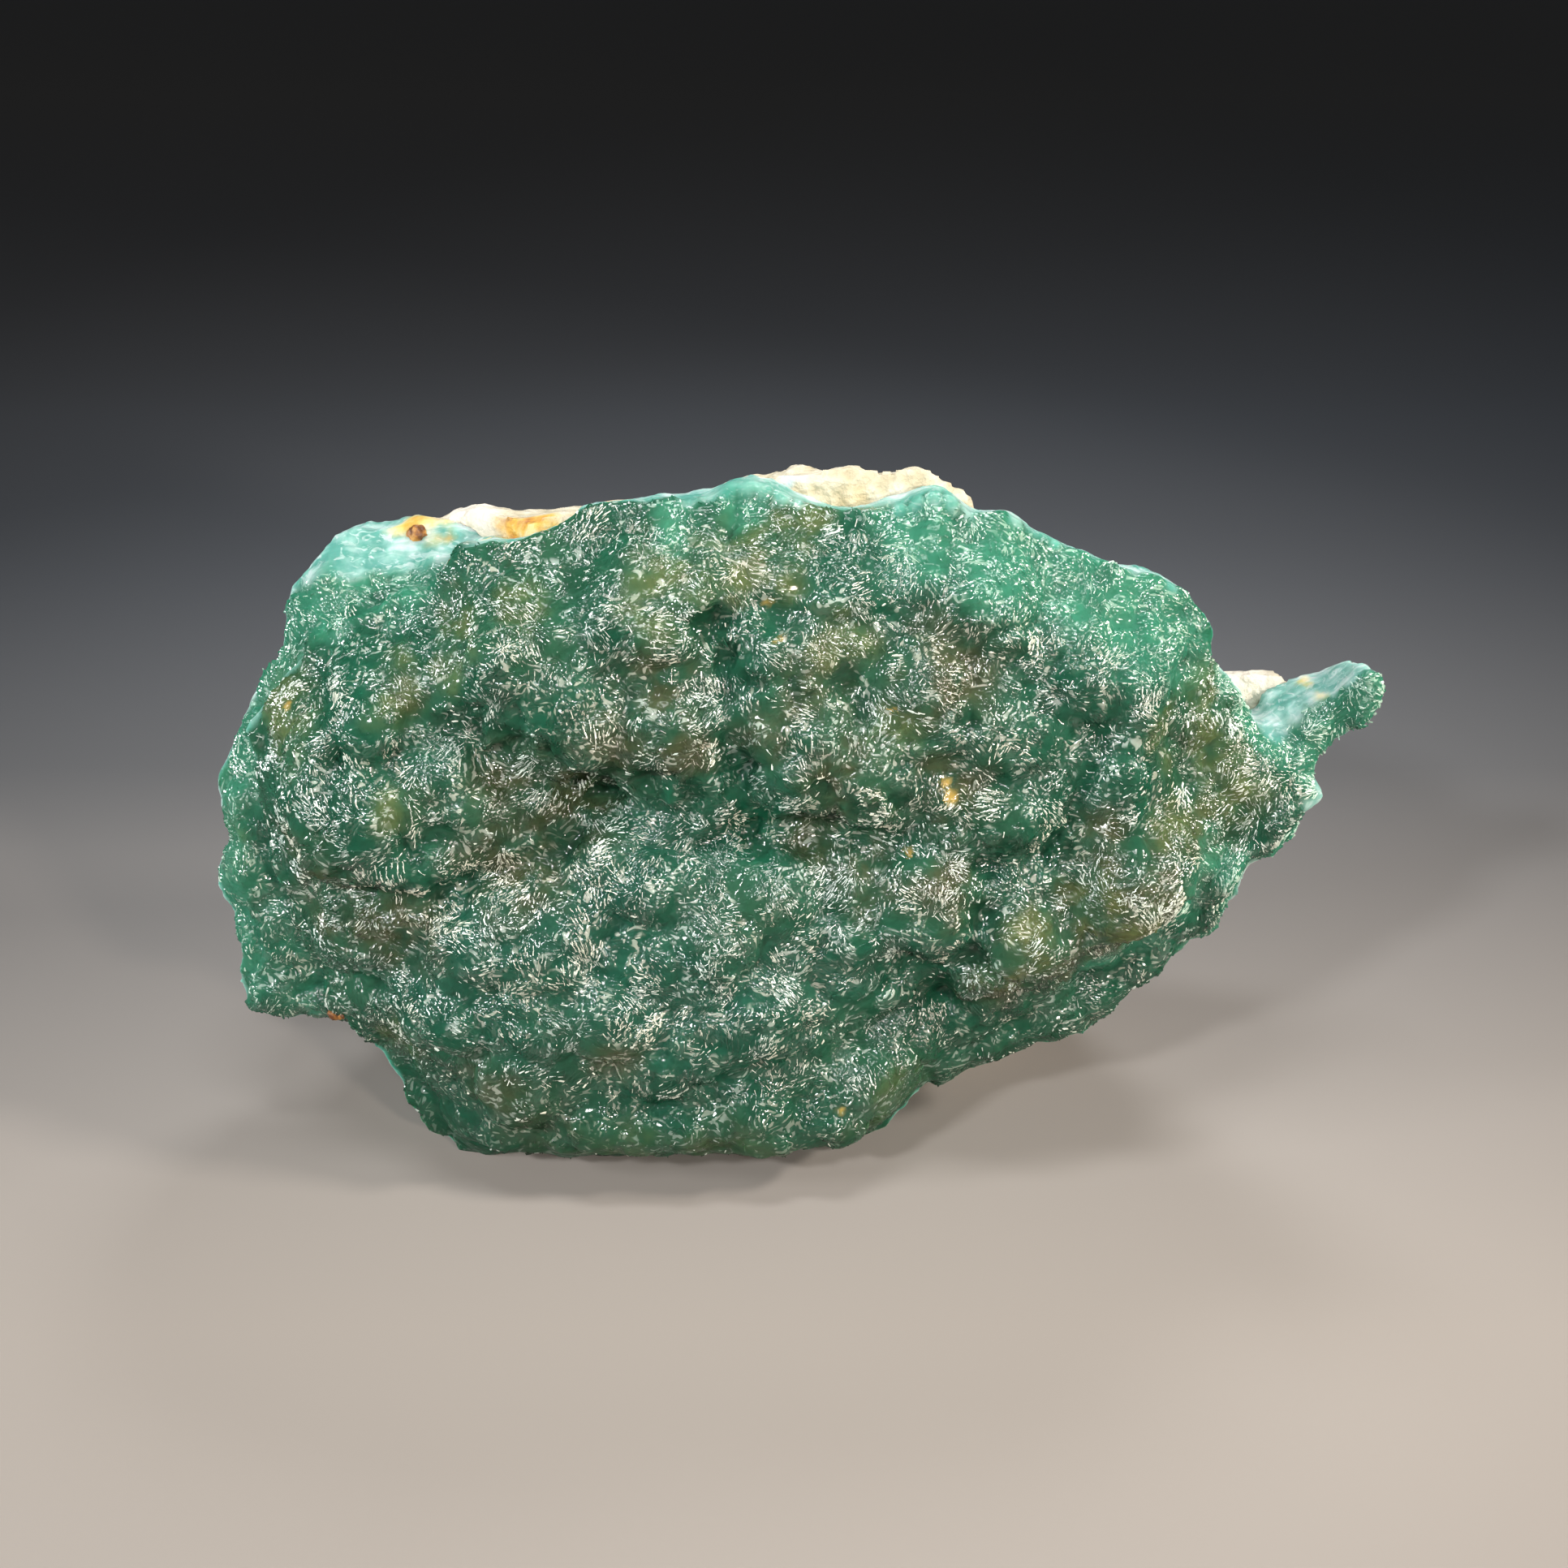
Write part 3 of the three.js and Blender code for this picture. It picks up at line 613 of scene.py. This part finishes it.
def adamite_colour(tree):
    """Copper green: deepest in the creases and towards the foot, which is painted shade; greyer on the knob tops, a
    painted sheen; olive and brown where iron stains the knobs; paler on the older crust, with a painted glow of light
    through its thin edges; pale turquoise where broken.
    """
    place = add(tree, "ShaderNodeTexCoord").outputs["Object"]
    mark = {
        name: add(tree, "ShaderNodeAttribute", {"attribute_name": name}).outputs["Fac"]
        for name in ("crystal", "painted_shade", "knob", "olive", "brown", "teal", "pale_and_glow", "yellow", "rust", "layer")
    }
    clouds = add(tree, "ShaderNodeTexNoise", inputs={"Vector": place, "Scale": 170.0, "Detail": 3.0}).outputs["Fac"]
    body = stops(tree, clouds, [(0.32, "#0b4630"), (0.5, "#124d37"), (0.68, "#25523a")])
    # greyer and lighter on the knob tops: painted sheen
    body = mixed(tree, times(tree, mark["knob"], 0.45), body, linear("#294f3e"))
    body = mixed(tree, times(tree, mark["teal"], 0.4), body, linear("#17483b"))
    mottle = add(
        tree,
        "ShaderNodeMapRange",
        {"interpolation_type": "SMOOTHSTEP"},
        {
            "Value": add(
                tree, "ShaderNodeTexNoise", inputs={"Vector": place, "Scale": 750.0, "Detail": 3.0}
            ).outputs["Fac"],
            "From Min": 0.36,
            "From Max": 0.62,
            "To Min": 0.2,
            "To Max": 0.9,
        },
    ).outputs["Result"]
    body = mixed(tree, times(tree, mark["brown"], mottle), body, linear("#3e4429"))
    body = mixed(tree, times(tree, mark["olive"], times(tree, mottle, 0.8)), body, linear("#586437"))
    # paler green: the older crust's own colour, and a painted glow where light shines through thin crust
    body = mixed(tree, times(tree, mark["pale_and_glow"], 0.6), body, linear("#3a866a"))
    # painted shade: the creases, pits and foot darkened to deep green
    body = mixed(tree, mark["painted_shade"], body, linear("#053823"))
    body = mixed(tree, mark["yellow"], body, linear("#a28b45"))
    flecks = add(tree, "ShaderNodeTexNoise", inputs={"Vector": place, "Scale": 900.0, "Detail": 4.0}).outputs["Fac"]
    bare = stops(tree, flecks, [(0.36, "#559186"), (0.46, "#76a59c"), (0.54, "#91b6af"), (0.64, "#b3c9c5")])
    drawn = add(
        tree, "ShaderNodeVectorMath", {"operation": "MULTIPLY"}, {0: place, 1: (1900.0, 1900.0, 5000.0)}
    ).outputs[0]
    streaks = add(
        tree,
        "ShaderNodeMapRange",
        {"interpolation_type": "SMOOTHSTEP"},
        {
            "Value": add(
                tree, "ShaderNodeTexNoise", inputs={"Vector": drawn, "Scale": 1.0, "Detail": 2.0, "Distortion": 1.2}
            ).outputs["Fac"],
            "From Min": 0.54,
            "From Max": 0.66,
            "To Max": 0.5,
        },
    ).outputs["Result"]
    bare = mixed(tree, streaks, bare, linear("#ccd8d7"))
    # broken edges show the layers it grew in, the last of them a deeper green
    layers = add(
        tree, "ShaderNodeTexNoise", {"noise_dimensions": "1D"}, {"W": mark["layer"], "Scale": 3.0, "Detail": 3.0}
    ).outputs["Fac"]
    banded = add(
        tree,
        "ShaderNodeMapRange",
        {"interpolation_type": "SMOOTHSTEP"},
        {"Value": layers, "From Min": 0.45, "From Max": 0.65, "To Max": 0.35},
    ).outputs["Result"]
    bare = mixed(tree, banded, bare, linear("#4a8a7c"))
    rind = add(
        tree,
        "ShaderNodeMapRange",
        {"interpolation_type": "SMOOTHSTEP"},
        {"Value": mark["layer"], "From Min": -0.3, "From Max": 1.1, "To Min": 0.6, "To Max": 0.0},
    ).outputs["Result"]
    bare = mixed(tree, rind, bare, linear("#2c7a64"))
    bare = mixed(tree, mark["rust"], bare, stops(tree, flecks, [(0.35, "#bf9847"), (0.48, "#d0bb74"), (0.6, "#d8d0a9")]))
    return place, mark, mixed(tree, mark["crystal"], bare, body)


def crystal_ridges(tree, place, mark):
    """Normals of the finest crystals, side by side in sheaves on the knobs: ridges 0.15 mm apart that turn another
    way in each sheaf. Between the sheaves the crust is bare and only grained."""
    warp = add(tree, "ShaderNodeTexNoise", inputs={"Vector": place, "Scale": 900.0, "Detail": 1.0}).outputs["Color"]
    bend = add(tree, "ShaderNodeVectorMath", {"operation": "SCALE"}, {0: warp, "Scale": 0.0008}).outputs[0]
    bent = add(tree, "ShaderNodeVectorMath", {"operation": "ADD"}, {0: place, 1: bend}).outputs[0]
    sheaf = add(tree, "ShaderNodeTexVoronoi", inputs={"Vector": bent, "Scale": 1300.0}).outputs["Color"]
    turn = add(tree, "ShaderNodeVectorMath", {"operation": "SCALE"}, {0: sheaf, "Scale": math.tau}).outputs[0]
    turned = add(
        tree, "ShaderNodeVectorRotate", {"rotation_type": "EULER_XYZ"}, {"Vector": bent, "Rotation": turn}
    ).outputs[0]
    drawn = add(
        tree, "ShaderNodeVectorMath", {"operation": "MULTIPLY"}, {0: turned, 1: (6600.0, 6600.0, 2000.0)}
    ).outputs[0]
    ridges = add(tree, "ShaderNodeTexNoise", inputs={"Vector": drawn, "Scale": 1.0, "Detail": 0.0}).outputs["Fac"]
    patches = add(tree, "ShaderNodeTexNoise", inputs={"Vector": place, "Scale": 1100.0, "Detail": 1.0}).outputs["Fac"]
    thick = add(
        tree, "ShaderNodeMath", {"operation": "MULTIPLY_ADD"}, {0: mark["knob"], 1: 0.25, 2: patches}
    ).outputs[0]
    covered = add(
        tree,
        "ShaderNodeMapRange",
        {"interpolation_type": "SMOOTHSTEP"},
        {"Value": thick, "From Min": 0.52, "From Max": 0.68},
    ).outputs["Result"]
    open_face = add(tree, "ShaderNodeMath", {"operation": "SUBTRACT"}, {0: mark["crystal"], 1: mark["painted_shade"]})
    open_face.use_clamp = True
    covered = times(tree, covered, open_face.outputs[0])
    grains = add(tree, "ShaderNodeTexNoise", inputs={"Vector": place, "Scale": 2400.0, "Detail": 1.0}).outputs["Fac"]
    grained = add(
        tree, "ShaderNodeBump", inputs={"Height": grains, "Distance": 0.00008, "Strength": 1.0}
    ).outputs["Normal"]
    ridged = add(
        tree,
        "ShaderNodeBump",
        inputs={"Height": times(tree, ridges, covered), "Distance": 0.00016, "Strength": 1.0, "Normal": grained},
    ).outputs["Normal"]
    # the ridge crests, where painted glints are laid white into the colour
    edges = add(
        tree,
        "ShaderNodeMapRange",
        {"interpolation_type": "SMOOTHSTEP"},
        {"Value": ridges, "From Min": 0.58, "From Max": 0.68},
    ).outputs["Result"]
    return grained, ridged, covered, times(tree, edges, covered)


def painted_white_glints(tree, place, amount, body):
    """Painted glints: white laid into the colour where crystal edges would flash, warmer in some places than in
    others, greener on the paler crust.
    """
    tint = add(tree, "ShaderNodeTexNoise", inputs={"Vector": place, "Scale": 400.0, "Detail": 2.0}).outputs["Fac"]
    white = stops(tree, tint, [(0.4, "#e4f3ea"), (0.6, "#f1f2df")])
    pale_and_glow = add(tree, "ShaderNodeAttribute", {"attribute_name": "pale_and_glow"}).outputs["Fac"]
    return mixed(tree, amount, body, mixed(tree, times(tree, pale_and_glow, 0.7), white, linear("#bfe6d2")))


def adamite_material():
    """Adamite coloured by copper, as it grew: a glassy, see-into green. The eye sees light come out of it beside where
    it went in, and white lines on the edges of its finest crystals: glints of the glassy coat on its ridges, and
    painted glints laid white into its colour."""
    material, tree = new_material("adamite_grown")
    place, mark, body = adamite_colour(tree)
    grained, ridged, covered, edges = crystal_ridges(tree, place, mark)
    glassy = add(tree, "ShaderNodeMath", {"operation": "MULTIPLY_ADD"}, {0: covered, 1: 0.85, 2: 0.15}).outputs[0]
    shader = add(
        tree,
        "ShaderNodeBsdfPrincipled",
        inputs={
            "Base Color": painted_white_glints(tree, place, times(tree, edges, 0.35), body),
            "Roughness": 0.6,
            "Specular IOR Level": 0.1,
            "Normal": grained,
            "Subsurface Weight": 0.7,
            "Subsurface Scale": 0.0012,
            "Subsurface Radius": (0.45, 1.0, 0.75),
            "Coat Weight": glassy,
            "Coat Roughness": 0.1,
            "Coat IOR": 1.74,
            "Coat Normal": ridged,
        },
    )
    surface(tree, shader)
    return material


def crystal_material():
    """The same adamite as single crystals: glassy growth faces that catch the light, and painted glints: white laid
    into the colour of a share of them.
    """
    material, tree = new_material("adamite_crystal_faces")
    place, _, body = adamite_colour(tree)
    painted_glint_amount = add(tree, "ShaderNodeAttribute", {"attribute_name": "painted_glint_amount"}).outputs["Fac"]
    shader = add(
        tree,
        "ShaderNodeBsdfPrincipled",
        inputs={
            "Base Color": painted_white_glints(tree, place, painted_glint_amount, body),
            "Roughness": 0.14,
            "IOR": 1.74,
        },
    )
    surface(tree, shader)
    return material


def rock_material():
    """Limonite-stained rock, broken by hand: chalky, granular cream, dull all over, rusty where water ran through."""
    material, tree = new_material("iron_stained_rock_broken")
    place = add(tree, "ShaderNodeTexCoord").outputs["Object"]
    stain = add(tree, "ShaderNodeTexNoise", inputs={"Vector": place, "Scale": 260.0, "Detail": 5.0}).outputs["Fac"]
    specks = add(tree, "ShaderNodeTexNoise", inputs={"Vector": place, "Scale": 1500.0, "Detail": 4.0}).outputs["Fac"]
    fresh = stops(tree, specks, [(0.3, "#aba286"), (0.45, "#bcb398"), (0.6, "#c9c1ab"), (0.75, "#d1ccbe")])
    rusty = stops(tree, specks, [(0.3, "#a3632a"), (0.42, "#bf8b34"), (0.55, "#cfa74e"), (0.72, "#d6c491")])
    rust = add(tree, "ShaderNodeAttribute", {"attribute_name": "rust"}).outputs["Fac"]
    weathered = add(tree, "ShaderNodeAttribute", {"attribute_name": "weathered"}).outputs["Fac"]
    seep = add(
        tree,
        "ShaderNodeMapRange",
        {"interpolation_type": "SMOOTHSTEP"},
        {"Value": stain, "From Min": 0.48, "From Max": 0.62},
    ).outputs["Result"]
    yellowed = add(
        tree,
        "ShaderNodeMapRange",
        {"interpolation_type": "SMOOTHSTEP"},
        {
            "Value": add(
                tree, "ShaderNodeTexNoise", inputs={"Vector": place, "Scale": 520.0, "Detail": 3.0}
            ).outputs["Fac"],
            "From Min": 0.52,
            "From Max": 0.7,
            "To Max": 0.4,
        },
    ).outputs["Result"]
    fresh = mixed(tree, yellowed, fresh, linear("#c2a873"))
    bluish = add(tree, "ShaderNodeAttribute", {"attribute_name": "bluish"}).outputs["Fac"]
    fresh = mixed(tree, bluish, fresh, linear("#a9c2c6"))
    body = mixed(tree, times(tree, seep, times(tree, weathered, 0.85)), fresh, rusty)
    # whiter: chalky broken rock, and painted light on the wedge that faces the camera
    chalky_and_lit = add(tree, "ShaderNodeAttribute", {"attribute_name": "chalky_and_lit"}).outputs["Fac"]
    body = mixed(tree, times(tree, chalky_and_lit, 0.85), body, linear("#ddd6c9"))
    body = mixed(tree, rust, body, rusty)
    granular = add(
        tree, "ShaderNodeBump", inputs={"Height": specks, "Distance": 0.0004, "Strength": 1.0}
    ).outputs["Normal"]
    shader = add(
        tree,
        "ShaderNodeBsdfPrincipled",
        inputs={"Base Color": body, "Roughness": 0.85, "Normal": granular},
    )
    surface(tree, shader)
    return material


def grain_material():
    """Limonite grains, as they crystallised: brown with ochre flecks and a dull, waxy shine."""
    material, tree = new_material("limonite")
    place = add(tree, "ShaderNodeTexCoord").outputs["Object"]
    flecks = add(tree, "ShaderNodeTexNoise", inputs={"Vector": place, "Scale": 3500.0, "Detail": 3.0}).outputs["Fac"]
    body = stops(tree, flecks, [(0.35, "#5a3417"), (0.5, "#8a5a26"), (0.65, "#b98a45")])
    shader = add(tree, "ShaderNodeBsdfPrincipled", inputs={"Base Color": body, "Roughness": 0.5})
    surface(tree, shader)
    return material


# Floor and light


def lay_floor():
    """A card whose grey changes with distance from the camera: painted light and shade, shaping how the lamps' light
    falls off across it.
    """
    mesh = bpy.data.meshes.new("floor")
    sheet = bmesh.new()
    bmesh.ops.create_grid(sheet, x_segments=1, y_segments=1, size=1.5)
    sheet.to_mesh(mesh)
    sheet.free()
    floor = object_of("floor", mesh)
    material, tree = new_material("floor_card")
    place = add(tree, "ShaderNodeTexCoord").outputs["Object"]
    away = add(tree, "ShaderNodeSeparateXYZ", inputs={0: place}).outputs["Y"]
    along = add(tree, "ShaderNodeMapRange", inputs={"Value": away, "From Min": -0.02, "From Max": 0.4}).outputs["Result"]
    # painted light and shade: darker away from the camera, lighter again far behind
    painted_falloff = stops(
        tree, along, [(0.012, "#948d86"), (0.114, "#646567"), (0.186, "#676b71"), (0.286, "#6f757d"), (1.0, "#918e88")]
    )
    surface(tree, add(tree, "ShaderNodeBsdfPrincipled", inputs={"Base Color": painted_falloff, "Roughness": 0.7}))
    mesh.materials.append(material)


def hang_lamp(name, place, size, power, spread=120, colour="#ffffff"):
    """A soft lamp that looks at the middle of the specimen, its beam spread over so many degrees."""
    lamp = bpy.data.lights.new(name, "AREA")
    lamp.shape = "RECTANGLE"
    lamp.size, lamp.size_y = size
    lamp.energy = power
    lamp.spread = math.radians(spread)
    lamp.color = linear(colour)[:3]
    holder = bpy.data.objects.new(name, lamp)
    holder.location = place
    holder.rotation_euler = (Vector((0, 0, 0.013)) - Vector(place)).to_track_quat("-Z", "Y").to_euler()
    bpy.context.scene.collection.objects.link(holder)


def light_studio():
    hang_lamp("top_lamp", (0.0, -0.02, 0.16), (0.06, 0.02), 0.0148, 70)
    hang_lamp("left_lamp", (-0.09, -0.12, 0.12), (0.02, 0.012), 0.0305, 70)
    hang_lamp("right_lamp", (0.11, -0.15, 0.07), (0.02, 0.012), 0.0335, 70, "#fff0e2")
    hang_lamp("front_lamp", (0.03, -0.17, 0.14), (0.02, 0.012), 0.0154, 70)
    hang_lamp("low_lamp", (-0.03, -0.19, 0.04), (0.02, 0.01), 0.001, 70)
    hang_lamp("side_lamp", (-0.15, -0.04, 0.06), (0.02, 0.012), 0.019, 70)
    hang_lamp("horn_lamp", (0.13, -0.03, 0.10), (0.02, 0.012), 0.029, 70, "#fff6ec")
    hang_lamp("rim_lamp", (0.02, 0.08, 0.12), (0.05, 0.03), 0.0105, 60)
    world = bpy.data.worlds.new("studio")
    world.use_nodes = True
    world.node_tree.nodes["Background"].inputs["Color"].default_value = linear("#8a8d93")
    world.node_tree.nodes["Background"].inputs["Strength"].default_value = 0.12
    bpy.context.scene.world = world
    bpy.context.scene.view_settings.view_transform = "Standard"


place_camera()
adamite, crystal_faces, rock_break = adamite_material(), crystal_material(), rock_material()
crust, sheaves = grow_crust()
blades, turns, roots, painted_glint_amount = grow_crystals(sheaves)
finish_piece(crust, "adamite_crust", adamite)
for k, part in enumerate(np.array_split(np.argsort(blades[:, 0, 0]), CRYSTAL_PIECES)):
    name = f"crystal_blades_{k + 1}"
    mesh = blade_mesh(name, blades[part], turns[part])
    for mark, values in sheaves["growth"].items():
        keep(mesh, mark, np.repeat(values[roots[part]], len(BLADE)))
    keep(mesh, "painted_glint_amount", np.repeat(painted_glint_amount[part], len(BLADE)))
    finish_piece(object_of(name, mesh), None, crystal_faces)
finish_piece(break_rock(), "rock_matrix", rock_break)
grains = lay_grains(sheaves["points"], sheaves["normals"])
finish_piece(grains, None, grain_material())
lay_floor()
light_studio()
